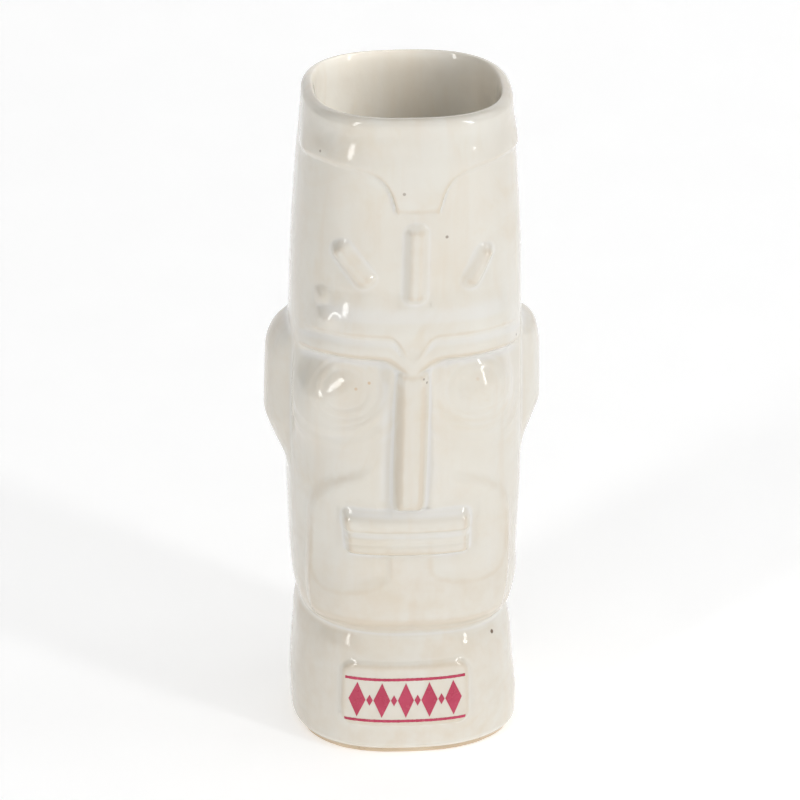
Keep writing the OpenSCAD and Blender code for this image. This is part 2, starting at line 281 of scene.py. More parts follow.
def inside_depth(polygon, T, z):
    """How far inside a closed polygon each point lies; 0 outside it."""
    T, z = np.broadcast_arrays(T, z)
    depth_in = np.zeros(T.shape)
    lo, hi = polygon.min(0), polygon.max(0)
    near = (T > lo[0]) & (T < hi[0]) & (z > lo[1]) & (z < hi[1])
    if not near.any():
        return depth_in
    p = np.stack([T[near], z[near]], -1)
    best = np.full(len(p), 1e9)
    inside = np.zeros(len(p), bool)
    for a, b in zip(polygon, np.roll(polygon, -1, 0)):
        e = b - a
        w = p - a
        k = np.clip((w @ e) / max(e @ e, 1e-12), 0, 1)
        best = np.minimum(best, np.hypot(w[:, 0] - k * e[0], w[:, 1] - k * e[1]))
        crosses = (a[1] > p[:, 1]) != (b[1] > p[:, 1])
        if e[1]:
            inside ^= crosses & (p[:, 0] < a[0] + e[0] * (p[:, 1] - a[1]) / e[1])
    depth_in[near] = np.where(inside, best, 0)
    return depth_in


def smooth_outline(points, count=4):
    """A line of points drawn through with a Catmull-Rom curve."""
    points = np.array(points, float)
    p = np.vstack([2 * points[0] - points[1], points, 2 * points[-1] - points[-2]])
    out = []
    for i in range(1, len(p) - 2):
        for u in np.arange(count) / count:
            out.append(0.5 * (2 * p[i] + (p[i + 1] - p[i - 1]) * u
                              + (2 * p[i - 1] - 5 * p[i] + 4 * p[i + 1] - p[i + 2]) * u * u
                              + (3 * p[i] - p[i - 1] - 3 * p[i + 1] + p[i + 2]) * u ** 3))
    out.append(points[-1])
    return np.array(out)


MUZZLE_LINE = np.vstack([smooth_outline(MUZZLE[1]), (smooth_outline(MUZZLE[-1]) * [-1, 1])[-2:0:-1]])
POCKET_LINES = {side: smooth_outline(line) for side, line in POCKETS.items()}


def undulation(t, z):
    """Low waves that the mould and the hand left in the casting."""
    a = np.asarray(t) / GIRTH
    waves = ((3, 0.061, 0.4, 0.040), (5, 0.043, 2.1, 0.030), (2, 0.097, 4.4, 0.032),
             (7, 0.12, 1.3, 0.018), (4, 0.16, 5.2, 0.016), (9, 0.21, 2.9, 0.010))
    return sum(size * np.sin(k * a + 2 * math.sin(phase) + phase) * np.cos(f * z + phase * k)
               for k, f, phase, size in waves)


def ear_height(t, z):
    """A lobed ear on each side, the left one with a dimple."""
    side = np.sign(t)
    low = EAR_LOW - np.where(side < 0, EAR_DROOP[-1], EAR_DROOP[1])
    share = (z - low) / (EAR_TOP - low)
    # The left ear has a notch below its top and a dimple
    rise = curve(EAR_RISE, share) - 0.12 * bell((share - 0.88) / 0.06) * (side < 0)
    across = curve(EAR_ACROSS, np.abs(t))
    dimple = 0.35 * bell((np.abs(t) - 46) / 2.0) * bell((z - 116) / 2.2)
    return EAR_OUT * rise * across - dimple * (side < 0)


def brow_height(T, z, under):
    """The two brow strips, over a face that lies at the height under."""
    aT = np.abs(T)
    tongue = 1 - s3((np.abs(T + 0.35) - 1.6) / 3.4)
    end = 0.75 * s3((31 - aT) / 9) + 0.25 * s3((38 - aT) / 9)
    w = z - line_one(T)
    upper = curve([[-9, 2.1], [0.6, 2.1], [3.4, 1.8], [11.2, 0.2], [13, 0], [24, 0]],
                  z - BROW_Z + droop(T)) * end
    v = z - line_two(T)
    width = np.maximum(line_one(T) - line_two(T), 1.2)
    face = (1.95 + 0.45 * tongue) * end
    crease = 0.5 * (1 - tongue) * end
    lower = face - crease * s3((v - 0.3 * width) / (0.65 * width))
    step = s3((w + 0.9) / 2.1)
    strips = lower * (1 - step) + np.maximum(upper, 0) * step
    # Two low bumps at the left end
    strips = strips + 0.65 * (1 - s3(np.hypot(T + 24.2, z - 139.6) / 3.4))
    strips = strips + 0.8 * (1 - s3(np.hypot(T + 22.0, z - 133.8) / 4.2))
    return under + (strips - under) * s3((v + 3.0) / 4.0)


def socket(T, z):
    """The hollow that holds each eye, deepest under the brow, with the eye's swell in it."""
    aT = np.abs(T)
    across = s3((aT - 4.6) / 4.4) * s3((36 - aT) / 7)
    v = line_two(T) - z
    down = s3((v + 1.6) / 2.6) * (1 - s3((v - 2.2) / 23))
    # The swell that carries each eye reaches lower on the left
    r = np.hypot((T - 21) / 12, (z - EYE_Z + 0.4) / 10.6)
    right = 2.5 * (1 - s3((r - 0.1) / 1.0))
    r = np.hypot((T + 28) / 13, (z - 108.5) / np.where(z > 108.5, 13, 20))
    left = 3.1 * (1 - s3(r)) * s3((40 + T) / 8)
    return -SOCKET_DEEP * across * down + np.where(T < 0, left, right) * s3((aT - 5) / 5)


def eye_height(T, z):
    """Carved rings round a low eyeball."""
    dT = np.abs(T) - EYE_T
    r = np.hypot(dT, z - EYE_Z) / EYE_R
    ball = 0.3 * (1 - s3(r / 0.6))
    rings = (0.05 * bell((r - 0.74) / 0.1) - 0.07 * bell((r - 0.6) / 0.08)
             - 0.06 * bell((r - 0.88) / 0.07) + 0.04 * bell((r - 0.98) / 0.06))
    return ball + rings


def cheek_arcs(T, z):
    """Shallow carved arcs that run on below each eye."""
    r = np.hypot(np.abs(T) - 20, z - EYE_Z - 2)
    below = s3((EYE_Z + 2 - z) / 6) * s3((z - 92) / 6) * s3((36 - np.abs(T)) / 5)
    wave = np.sin((r - 13.0) * 2 * math.pi / ARC_PITCH)
    return ARC_OUT * wave * below * s3((r - 12.4) / 1.5) * s3((22 - r) / 3)


def muzzle_height(T, z):
    """The raised muzzle, which fades out beside the nose."""
    d = inside_depth(MUZZLE_LINE, T, z)
    fade = 1 - s3((z - 82) / 9) * (1 - s3((np.abs(T) - 6) / 6))
    return MUZZLE_OUT * s3(d / 4.8) * fade * s3((z - CHIN_LOW - 0.2) / 5)


def chin_height(T, z):
    """The swell of the chin and the ridge round the mouth, with hollows at its corners."""
    aT = np.abs(T)
    swell = s3((z - CHIN_LOW - 0.6) / 5.2) * (1 - s3((z - 46) / 18)) * (1 - s3((aT - 14) / 17))
    hollow = sum(s3(inside_depth(line, T * side, z) / 5.4)
                 for side, line in POCKET_LINES.items())
    hollow = np.maximum(hollow, s3((-T - 3.8) / 1.7) * s3((z - 54.4) / 4) * s3((12 + T) / 5))
    ridge = s3(inside_depth(MUZZLE_LINE, T, z) / 4.4) * s3((z - CHIN_LOW - 0.4) / 6)
    high = 0.52 - 0.3 * s3((z - 58) / 14) * s3((aT - 12) / 8) - 0.2 * s3((z - 74) / 9)
    return CHIN_OUT * swell + high * ridge * (1 - np.minimum(hollow, 1)) * (1 - s3((z - 79) / 8))


def nose_height(T, z):
    """A narrow ridge, highest at its low end."""
    T = T + 0.1
    share = (z - NOSE_LOW + 0.8) / (NOSE_TOP - NOSE_LOW + 0.8)
    along = curve([[-0.03, 0], [-0.01, 0.1], [0.025, 0.66], [0.06, 0.92], [0.1, 1.0], [0.5, 0.9],
                   [0.85, 0.76], [1, 0.6], [1.06, 0]], share)
    across = s3((5.2 - np.abs(T)) / 3.2) + 0.05 * bell(T / 2.4)
    return NOSE_OUT * along * across


def mouth_height(T, z):
    """The three lips as one block, parted by two grooves."""
    lean = (75.6 - z) / 12.2
    half = np.where(T < 0, 16.4 - 1.4 * lean, 15.3 + 0.2 * lean)
    sides = s3((half + 0.9 - np.abs(T)) / 3.1)
    low = s3((z - MOUTH_LOW + 0.6) / 2.2)
    top = curve([[60, 1], [73.8, 1], [75, 0.95], [78.4, 0.12], [79.2, 0], [90, 0]], z)
    face = curve([[60, 3.3], [66.4, 3.35], [67.6, 3.3], [68.4, 3.2], [69.6, 3.2], [70.8, 2.75],
                  [71.5, 2.65], [72.4, 3.35], [73.6, 3.6], [82, 3.6]], z)
    return (face - 0.16 * bell((z - GROOVES[1]) / 0.5)) * sides * low * top


def panel_height(T, z):
    """The low panel on the plinth."""
    d = -box_distance(T - (PANEL[0] + PANEL[1]) / 2, z - (PANEL[2] + PANEL[3]) / 2,
                      (PANEL[1] - PANEL[0]) / 2, (PANEL[3] - PANEL[2]) / 2, 3.8)
    return PANEL_OUT * s5((d + 0.8) / 2.4)


def bar_height(T, z, name):
    """One forehead bar, a rounded rectangle along its slant."""
    low, high = (np.array(p, float) for p in BARS[name][:2])
    along = (high - low) / np.linalg.norm(high - low)
    centre = (low + high) / 2
    p = (T - centre[0]) * along[0] + (z - centre[1]) * along[1]
    q = (T - centre[0]) * along[1] - (z - centre[1]) * along[0]
    d = -box_distance(p, q, np.linalg.norm(high - low) / 2, BARS[name][2] / 2, 2.4)
    return BAR_OUT * s3((d + 0.9) / 3.1) * (1 - 0.12 * s3(-p / 9) * (low[0] != high[0]))


def hair_height(T, z):
    """The step up to the hair, which fades out below the rim."""
    up = s3((z - hairline(T) + 1.2) / 2.4) * (1 - s3((z - 178.5) / 9))
    return up * s3((46 - np.abs(T)) / 12)


def turn(T):
    """How far the crease under the chin runs up to the left and down to the right."""
    return 2.3 * s3(-T / 45) - 0.8 * s3(T / 45)


def foot_swell(t):
    """The foot stands a little proud at its right front corner."""
    return 1.5 * bell((t - 33) / 11)


# The nose and the mouth drop by this much past their edges, so that they don't lift the face
SUNK = 1.2
NEARLY_SUNK = -1.15
NOSE_FILLET = 1.2
MOUTH_FILLET = 1.7


def relief(t, z, level=2):
    """Height of the finished surface above the skin, with the carving up to a level."""
    t, z = np.broadcast_arrays(np.asarray(t, float), np.asarray(z, float))
    T = t - mid(z)
    h = undulation(t, z) * s3((z - 8) / 20) * s3((RIM_Z - 4 - z) / 20)
    h = h + socket(T, z) + cheek_arcs(T, z)
    # The body is fuller round the nose, at the foot's right corner and beside the chin
    h = h + 0.45 * bell(T / 7.5) * s3((z - 84) / 8) * s3((124 - z) / 8)
    h = h + foot_swell(t) * (1 - s3((z - 6) / 18)) + 0.9 * bell((t - 46) / 9) * bell((z - 46.5) / 5.5)
    # The crease under the chin, tilted, and the shoulder of the plinth below it
    h = h + (half_x(z - turn(T)) - half_x(z)) * s3((z - 28) / 5) * (1 - s3((z - 48) / 8))
    shoulder = s3((z - 27) / 10.5) * (1 - s3((z - 36.9) / 2.6)) * s3((40 - np.abs(T)) / 10)
    h = h - SHOULDER_DEEP * shoulder
    if level >= 1:
        h = h + hair_height(T, z) + panel_height(T, z) + ear_height(t, z)
        h = h + muzzle_height(T, z) + chin_height(T, z)
        h = h + eye_height(T, z) * (np.hypot(np.abs(T) - EYE_T, z - EYE_Z) < EYE_R * 1.2)
        h = np.where((z > 112) & (z < 148), brow_height(T, z, h), h)
    if level >= 2:
        for name in BARS:
            h = h + bar_height(T, z, name)
        nose = nose_height(T, z)
        nose = nose * (1 + 0.12 * s3((90 - z) / 8)) - SUNK * (1 - s3(nose / SUNK))
        h = np.where(nose > NEARLY_SUNK, smax(h, nose, NOSE_FILLET), h)
        mouth = mouth_height(T, z)
        mouth = mouth - SUNK * (1 - s3(mouth / SUNK))
        h = np.where(mouth > NEARLY_SUNK, smax(h, mouth, MOUTH_FILLET), h)
    return h


# ---- Where each piece lies ----

def rows_between(T, low, high, pitch):
    """A grid of [T, z] whose columns run from low to high."""
    n = max(4, int(np.max(high - low) / pitch) + 1)
    v = np.linspace(0, 1, n)[:, None]
    return np.broadcast_to(T, (n, len(T))), low + v * (high - low)


def band_grid(T_end, low, high, pitch=0.42):
    """A strip from -T_end to T_end, between the curves low and high."""
    T = np.linspace(-T_end, T_end, int(2 * T_end / pitch) + 1)
    return rows_between(T, low(T), high(T), pitch)


def disc_grid(centre, r, pitch=0.36):
    """A round grid, which is a square one bent to a circle."""
    u = np.linspace(-1, 1, int(2 * r / pitch) + 1)
    u, v = np.meshgrid(u, u)
    return centre[0] + r * u * np.sqrt(1 - v * v / 2), centre[1] + r * v * np.sqrt(1 - u * u / 2)


# How far a bar's piece runs on past its ends, and how much wider it is than the bar
BAR_BEYOND = 2.6
BAR_BESIDE = 5


def bar_grid(low, high, w, pitch=0.36):
    """A slanted rectangle w wide, which runs on past both ends of a bar."""
    low, high = np.array(low, float), np.array(high, float)
    length = np.linalg.norm(high - low)
    along = (high - low) / length
    across = np.array([along[1], -along[0]])
    u = np.linspace(-w / 2, w / 2, int(w / pitch) + 1)
    v = np.linspace(-BAR_BEYOND, length + BAR_BEYOND, int(length / pitch) + 1)
    u, v = np.meshgrid(u, v)
    p = low + u[..., None] * across + v[..., None] * along
    return p[..., 0], p[..., 1]


def jowl_grid(side, pitch=0.42):
    """One side of the muzzle, from beside the mouth out past the muzzle's border."""
    z = np.arange(MOUTH_LOW, 94.2, pitch)
    outer = np.interp(z, [MOUTH_LOW, 69, 74, 78.4, 82, 85.2, 88, 90, 93, 95],
                      [33.0, 32.6, 31.6, 30.2, 27.6, 24.2, 20.2, 16.4, 11.8, 9.6])
    inner = np.interp(z, [MOUTH_LOW, MOUTH_TOP, 80.8, 84.8, 90.8, 95], [15.6, 15.6, 5, 5, 5, 5])
    v = np.linspace(0, 1, int(26 / pitch))
    left, right = (inner, outer) if side > 0 else (-outer, -inner)
    T = left[:, None] + v * (right - left)[:, None]
    return T, np.broadcast_to(z[:, None], T.shape)


def ear_grid(side, pitch=0.45):
    """A rectangle that holds one ear."""
    low = EAR_LOW - EAR_DROOP[side]
    t = np.linspace(36.8, 62.2, int(25 / pitch))
    t = t if side > 0 else -t[::-1]
    z = np.linspace(low - 2.4, EAR_TOP + 1, int((EAR_TOP - low + 3.4) / pitch))
    t, z = np.meshgrid(t, z)
    return t - mid(z), z


def at_height(z):
    """An edge at one height, for band_grid."""
    return lambda T: z + 0 * T


def lip_grid(low, high):
    """A strip of the mouth between two heights."""
    return band_grid(MOUTH_HALF + MOUTH_BESIDE, at_height(low), at_height(high), 0.34)


# Each piece's level, which is 1 on the body and 2 over pieces of level 1, and its grid of T and z
GRIDS = {
    "left_ear": (1, ear_grid(-1)),
    "right_ear": (1, ear_grid(1)),
    "hair_band": (1, band_grid(47, lambda T: hairline(T) - 2.6, at_height(HAIR_TOP))),
    "upper_brow": (1, band_grid(38.5, line_one, lambda T: BROW_Z - droop(T) + 13.4)),
    "lower_brow": (1, band_grid(38.5, lambda T: line_two(T) - 4.4, line_one)),
    "left_eye": (1, disc_grid((-EYE_T, EYE_Z), EYE_R * 1.25)),
    "right_eye": (1, disc_grid((EYE_T, EYE_Z), EYE_R * 1.25)),
    "left_jowl": (1, jowl_grid(-1)),
    "right_jowl": (1, jowl_grid(1)),
    "jaw": (1, band_grid(34, lambda T: CHIN_LOW - 1.8 + turn(T), at_height(MOUTH_LOW))),
    "plinth_panel": (1, band_grid((PANEL[1] - PANEL[0]) / 2 + 2.2, at_height(PANEL[2] - 2.1),
                                  at_height(PANEL[3] + 2.1))),
    "nose": (2, band_grid(6.8, at_height(NOSE_LOW - 2), at_height(NOSE_TOP + 1), 0.36)),
    "upper_lip": (2, lip_grid(GROOVES[0], MOUTH_TOP + MOUTH_ABOVE)),
    "middle_lip": (2, lip_grid(GROOVES[1], GROOVES[0])),
    "lower_lip": (2, lip_grid(MOUTH_LOW - MOUTH_BELOW, GROOVES[1])),
}
for bar, (bar_low, bar_high, bar_width) in BARS.items():
    GRIDS[bar] = (2, bar_grid(bar_low, bar_high, bar_width + BAR_BESIDE))


def outline_of(T, z):
    """The border of a grid as one closed polygon."""
    edge = [np.stack([T[0], z[0]], -1)[:-1], np.stack([T[:, -1], z[:, -1]], -1)[:-1],
            np.stack([T[-1], z[-1]], -1)[:0:-1], np.stack([T[:, 0], z[:, 0]], -1)[:0:-1]]
    return np.vstack(edge)


# What covers each lower surface: the three lips count as one, so that it doesn't rise between them
OUTLINES = {name: (level, outline_of(*grid)) for name, (level, grid) in GRIDS.items()
            if not name.endswith("_lip")}
OUTLINES["mouth"] = (2, outline_of(*lip_grid(MOUTH_LOW - MOUTH_BELOW, MOUTH_TOP + MOUTH_ABOVE)))


# A piece stands this far over the surface that it covers, and its border sinks back over some cells
PATCH_LIFT = 0.006
PATCH_SINK = 0.016
SINK_CELLS = 3
# The surface under a piece dips this far inside the piece's border, over this width and depth
DIP_START = 1.7
DIP_WIDTH = 1.4
DIP_DEPTH = 0.3


def buried(t, z, level):
    """The surface of the pieces of one level: it dips out of sight under those that lie on it."""
    T = t - mid(z)
    cover = np.zeros(T.shape)
    for above, outline in OUTLINES.values():
        if above > level:
            cover = np.maximum(cover, inside_depth(outline, T, z))
    full = relief(t, z)
    dip = s3((cover - DIP_START) / DIP_WIDTH)
    own = np.minimum(full, relief(t, z, level)) - DIP_DEPTH
    return full * (1 - dip) + own * dip


def glaze_and_shade_lines(T, z):
    """Where the glaze broke to buff (above 0) or pooled (below 0) along the carved lines, with painted
    shade under the brow, the lips and the chin and on the nose's left edge, and painted light on the
    upward slopes of the brow and the upper lip.
    """
    aT = np.abs(T)
    # The edges of the brow strips, the forehead over them, and the hairline. The buff under the edge of
    # the lower strip is partly glaze broken on the edge and partly painted shade under the overhang
    over_one, over_two = z - line_one(T), z - line_two(T)
    brow = s3((38 - aT) / 8) * (1 - 0.4 * s3((4 - aT) / 3))
    lines = (0.42 * bell((over_one - 0.3) / 0.8) - 0.4 * bell((over_one + 1.9) / 1.1)
             + 0.75 * bell((over_two + 0.4) / 1.1) - 0.4 * bell((over_two + 3.2) / 1.2)) * brow
    # The upward slope of the upper brow strip is painted whiter: partly pooled glaze, and partly painted
    # light that offsets the dark sky reflected in it
    above = z - BROW_Z + droop(T)
    lines = lines - 0.45 * s3((above - 3) / 2) * (1 - s3((above - 6.5) / 4)) * s3((28 - aT) / 8)
    lines = lines + 0.4 * bell((z - hairline(T) + 0.2) / 0.9) * s3((44 - aT) / 8)
    # Beside the nose, where the stronger buff on its left edge is partly painted shade on the side
    # turned from the light, and along the lips
    beside_nose = s3((z - 79) / 3) * s3((118 - z) / 3)
    lines = lines + (0.6 * bell((T + 3.8) / 0.7) + 0.3 * bell((T - 3.2) / 0.7)
                     - 0.5 * bell((T + 6.6) / 1.2) - 0.3 * bell((T - 6.2) / 1.2)) * beside_nose
    # Along the lips, the buff line under the lower lip is partly painted shade under its edge, and the
    # whiter band on the upper lip's top slope is partly painted light
    on_mouth = s3((16.2 - aT) / 1.6)
    lines = lines + (0.5 * bell((z - 71.9) / 0.55) - 0.5 * bell((z - 70.2) / 0.8)
                     + 0.2 * bell((z - 68.0) / 0.5) + 0.7 * bell((z - 64.6) / 0.7)
                     - 0.5 * bell((z - 76.8) / 1.5)) * on_mouth
    # The edge of the jaw, with painted shade as a buff band on the chin's underside and pooled glaze in
    # the crease below it, the border of the muzzle and its hollows
    chin = z - turn(T)
    lines = lines + (0.45 * s3((chin - 38.2) / 1.6) * (1 - s3((chin - 42.4) / 2.6))
                     - 0.7 * bell((chin - 36.9) / 0.8)) * s3((40 - aT) / 8)
    d = inside_depth(MUZZLE_LINE, T, z)
    border = (0.4 * bell((d - 2.2) / 1.6) - 0.3 * bell((d + 1.2) / 1.6)) * s3((z - 48) / 8)
    lines = lines + border * s3((aT - 11) / 5)
    for side, line in POCKET_LINES.items():
        d = inside_depth(line, T * side, z)
        low = 1 - s3((z - 62) / 14)
        lines = lines + (0.35 * bell((d - 0.8) / 0.9) - 0.35 * s3((d - 1.4) / 2.5)) * low
    return lines


def thinness_and_shade(t, z):
    """Above 0 where the glaze ran thin over an edge and where painted shade is added, below 0 where it
    pooled and where painted light is added.
    """
    centre = relief(t, z)
    total = 0
    for reach, weight in ((0.8, 0.7), (1.9, 0.3)):
        ring = sum(relief(t + reach * math.cos(a), z + reach * math.sin(a))
                   for a in np.arange(8) * math.pi / 4) / 8
        total = total + weight * (centre - ring) / reach
    return np.clip(total * 2.6 + glaze_and_shade_lines(t - mid(z), z), -1, 1)


# ---- Meshes ----

def make_object(name, points, faces, thin_and_shade=None, sharp=50):
    """A smooth mesh object, from points in millimetres; edges over sharp degrees stay sharp."""
    mesh = bpy.data.meshes.new(name)
    mesh.from_pydata((np.asarray(points) * MM).tolist(), [], faces)
    mesh.validate()
    mesh.shade_smooth()
    mesh.set_sharp_from_angle(angle=math.radians(sharp))
    # The per-point attribute holds glaze thinness together with painted shade and painted light from the
    # carved lines
    if thin_and_shade is not None:
        mesh.attributes.new("thin_and_shade", "FLOAT", "POINT").data.foreach_set(
            "value", np.asarray(thin_and_shade, np.float32))
    obj = bpy.data.objects.new(name, mesh)
    bpy.context.scene.collection.objects.link(obj)
    return obj


def grid_faces(m, n, start=0, wrap=False, flip=False):
    """Four-sided faces over m rows of n points."""
    faces = []
    for r in range(m - 1):
        for c in range(n if wrap else n - 1):
            d = (c + 1) % n
            a, b = start + r * n, start + (r + 1) * n
            quad = (a + c, a + d, b + d, b + c)
            faces.append(quad[::-1] if flip else quad)
    return faces


def shell_faces(m, n, start=0):
    """Faces of a closed sheet: a front grid of points, the back grid after it, and the sides."""
    size = m * n
    faces = grid_faces(m, n, start) + grid_faces(m, n, start + size, flip=True)
    bottom, top = list(range(n - 1)), [(m - 1) * n + c for c in range(n - 1, 0, -1)]
    right, left = [r * n + n - 1 for r in range(m - 1)], [r * n for r in range(m - 1, 0, -1)]
    loop = [start + i for i in bottom + right + top + left]
    for a, b in zip(loop, loop[1:] + loop[:1]):
        faces.append((b, a, a + size, b + size))
    return faces


def solid_patch(name, T, z, level):
    """A closed piece: its face follows the carving and its back lies on what carries it."""
    t = T + mid(z)
    m, n = T.shape
    rows = np.linspace(0, 1, m)[:, None]
    cols = np.linspace(0, 1, n)
    inset = np.minimum(np.minimum(rows * m, (1 - rows) * m), np.minimum(cols * n, (1 - cols) * n))
    top = buried(t, z, level) + PATCH_LIFT - PATCH_SINK * (1 - s3(inset / SINK_CELLS))
    under = np.minimum(relief(t, z, level - 1), top - 0.06) - 0.04
    front = skin(t, z, top).reshape(-1, 3)
    back = skin(t, z, under).reshape(-1, 3)
    thin_and_shade = np.concatenate([thinness_and_shade(t, z).ravel(), np.zeros(m * n)])
    return make_object(name, np.vstack([front, back]), shell_faces(m, n), thin_and_shade)


def build_cup():
    """The glazed casting: underside, side, lip and inside as one closed skin."""
    pitch = 0.62
    front = np.arange(0, 40, pitch)
    side = np.arange(40, 62, 1.0)
    back = np.linspace(62, HALF_TURN, 17)
    half = np.concatenate([front, side, back])
    t = np.concatenate([half, -half[-2:0:-1]])
    n = len(t)
    points, thin_and_shade = [], []

    def ring(z, a, h, thin_value=0.0):
        x, y = plan(t, a, a * depth(z), h)
        points.append(np.stack([x, y, np.full(n, z)], -1))
        thin_and_shade.append(np.full(n, thin_value))

    edge_half = half_x(EDGE_TOP)
    foot_half = edge_half - FOOT_ROUND * (1 - math.cos(FOOT_EDGE))
    # The underside from its middle outwards, and the round under the foot
    for share in (0.12, 0.4, 0.7, 0.9):
        ring(FOOT_H, foot_half * share, foot_swell(t) * share)
    for a in np.linspace(FOOT_EDGE, 0.03, 12):
        ring(EDGE_TOP - FOOT_ROUND * math.sin(a), edge_half - FOOT_ROUND * (1 - math.cos(a)),
             foot_swell(t), 0.5 * s3((a - 0.5) / 0.8))
    # The carved side
    zs = np.arange(EDGE_TOP, RIM_BASE - 0.2, pitch)
    tt, zz = np.meshgrid(t, zs)
    h = buried(tt, zz, 0)
    side_points = skin(tt, zz, h)
    side_thin_and_shade = thinness_and_shade(tt, zz)
    for r in range(len(zs)):
        points.append(side_points[r])
        thin_and_shade.append(side_thin_and_shade[r])
    # The rim, over the top and down inside
    for a in np.linspace(0, math.pi / 2, 9):
        ring(RIM_BASE + LIP_OUTER * math.sin(a), half_x(RIM_BASE), LIP_OUTER * (math.cos(a) - 1),
             0.35 * math.sin(a) ** 2)
    for a in np.linspace(math.pi / 2, 0, 15)[1:-1]:
        z = RIM_Z - LIP_DEPTH * (1 - math.sin(a))
        ring(z, half_x(z), -LIP_OUTER - (GLAZED_WALL - LIP_OUTER) * math.cos(a),
             0.2 * math.sin(a) ** 2)
    # The inside down to the floor, the round at its foot, and the floor
    inner_half = curve(np.stack([INSIDE_Z, half_x(INSIDE_Z)], -1), zz[:, 0])
    for z, a in list(zip(zs, inner_half))[::-7]:
        if FLOOR_Z + FLOOR_ROUND < z < RIM_Z - LIP_DEPTH:
            ring(z, a, -GLAZED_WALL)
    floor_top = FLOOR_Z + FLOOR_ROUND
    for a in np.linspace(0, math.pi / 2, 9):
        ring(floor_top - FLOOR_ROUND * math.sin(a), half_x(floor_top),
             -GLAZED_WALL - FLOOR_ROUND * (1 - math.cos(a)))
    for share in (0.75, 0.45, 0.15):
        ring(FLOOR_Z, half_x(floor_top) * share * FLOOR_REACH, 0)
    m = len(points)
    faces = grid_faces(m, n, wrap=True)
    faces += [tuple(range(n))[::-1], tuple((m - 1) * n + c for c in range(n))]
    return make_object("cup_body", np.vstack(points), faces, np.concatenate(thin_and_shade), 60)


def build_foot_ring():
    """The bare clay ring that the mug stands on, with its edges worn round."""
    edge_half = half_x(EDGE_TOP)
    half = edge_half - FOOT_ROUND * (1 - math.cos(FOOT_EDGE))
    t = np.linspace(-HALF_TURN, HALF_TURN, 221)[:-1]
    width = 4.4
    section = [(-0.02, FOOT_H + 0.02), (0.0, 1.2), (-0.08, 0.75), (-0.3, 0.35), (-0.62, 0.1), (-1.05, 0),
               (-2.2, 0), (-3.4, 0), (-3.85, 0.1), (-4.2, 0.4), (-4.36, 0.8), (-width, FOOT_H + 0.02)]
    points = []
    for h, z in section:
        wobble = 0.05 * np.sin(t * 0.9 + h) * np.sin(t * 0.23) if 0 < z < FOOT_H else 0
        x, y = plan(t, half, half * depth(0), h + wobble + foot_swell(t))
        points.append(np.stack([x, y, np.full(len(t), z)], -1))
    m, n = len(section), len(t)
    faces = grid_faces(m, n, wrap=True)
    faces += [((m - 1) * n + c, (m - 1) * n + (c + 1) % n, (c + 1) % n, c) for c in range(n)]
    return make_object("foot_ring", np.vstack(points), faces)


def build_print():
    """A generic band of lozenges between two rules, fired onto the panel."""
    low, high, half, rule = 11.4, 25.0, 15.6, 0.8
    film_lift, film_thick = 0.1, 0.09
    count = 5
    pitch = 2 * half / count
    tall = (high - low) / 2 - rule * 1.8
    centre_z = (low + high) / 2
    points, faces = [], []

    def film(T, z):
        """A thin sheet of enamel over a grid of [T, z]."""
        t = T + mid(z)
        m, n = T.shape
        start = sum(len(p) for p in points)
        top = relief(t, z) + film_lift
        points.append(skin(t, z, top).reshape(-1, 3))
        points.append(skin(t, z, top - film_thick).reshape(-1, 3))
        faces.extend(shell_faces(m, n, start))

    for rule_z in (low, high - rule):
        T = np.linspace(-half, half, 80)
        ragged = 0.03 * np.sin(T * 5.1 + rule_z) + 0.02 * np.sin(T * 13.7)
        v = np.linspace(0, 1, 4)[:, None]
        film(np.broadcast_to(T, (4, 80)), rule_z + v * rule + ragged * (2 * v - 1))
    shapes = [((i + 0.5) * pitch - half, pitch * 0.34, tall) for i in range(count)]
    shapes += [(i * pitch - half, pitch * 0.13, tall * 0.32) for i in range(1, count)]
    u = np.linspace(-1, 1, 15)
    u, v = np.meshgrid(u, u)
    for centre_T, half_t, half_z in shapes:
        film(centre_T + (u - v) / 2 * half_t, centre_z + (u + v) / 2 * half_z)
    return make_object("printed_band", np.vstack(points), faces)


pieces = {"cup_body": build_cup(), "foot_ring": build_foot_ring(), "printed_band": build_print()}
for piece_name, (piece_level, grid) in GRIDS.items():
    pieces[piece_name] = solid_patch(piece_name, *grid, piece_level)


# ---- Materials ----

def new_material(name):
    """An empty material: itself, its node tree, its shader and the place on the mug."""
    material = bpy.data.materials.new(name)
    material.use_nodes = True
    tree = material.node_tree
    tree.nodes.clear()
    out = tree.nodes.new("ShaderNodeOutputMaterial")
    shader = tree.nodes.new("ShaderNodeBsdfPrincipled")
    tree.links.new(shader.outputs[0], out.inputs[0])
    place = tree.nodes.new("ShaderNodeTexCoord").outputs["Object"]
    return material, tree, shader, place


def noise(tree, place, scale, detail=3, rough=0.5, warp=0.0, stretch=None):
    """A noise value, with the place scaled by stretch first."""
    if stretch:
        scaled = tree.nodes.new("ShaderNodeMapping")
        scaled.inputs["Scale"].default_value = stretch
        tree.links.new(place, scaled.inputs["Vector"])
        place = scaled.outputs[0]
    node = tree.nodes.new("ShaderNodeTexNoise")
    tree.links.new(place, node.inputs["Vector"])
    node.inputs["Scale"].default_value = scale
    node.inputs["Detail"].default_value = detail
    node.inputs["Roughness"].default_value = rough
    node.inputs["Distortion"].default_value = warp
    return node.outputs["Fac"]


def remap(tree, value, low, high, out_low=0.0, out_high=1.0):
    """A smooth step of a value from low to high, between two other numbers."""
    node = tree.nodes.new("ShaderNodeMapRange")
    node.interpolation_type = "SMOOTHSTEP"
    tree.links.new(value, node.inputs["Value"])
    for socket_name, number in (("From Min", low), ("From Max", high), ("To Min", out_low),
                                ("To Max", out_high)):
        node.inputs[socket_name].default_value = number
    return node.outputs["Result"]


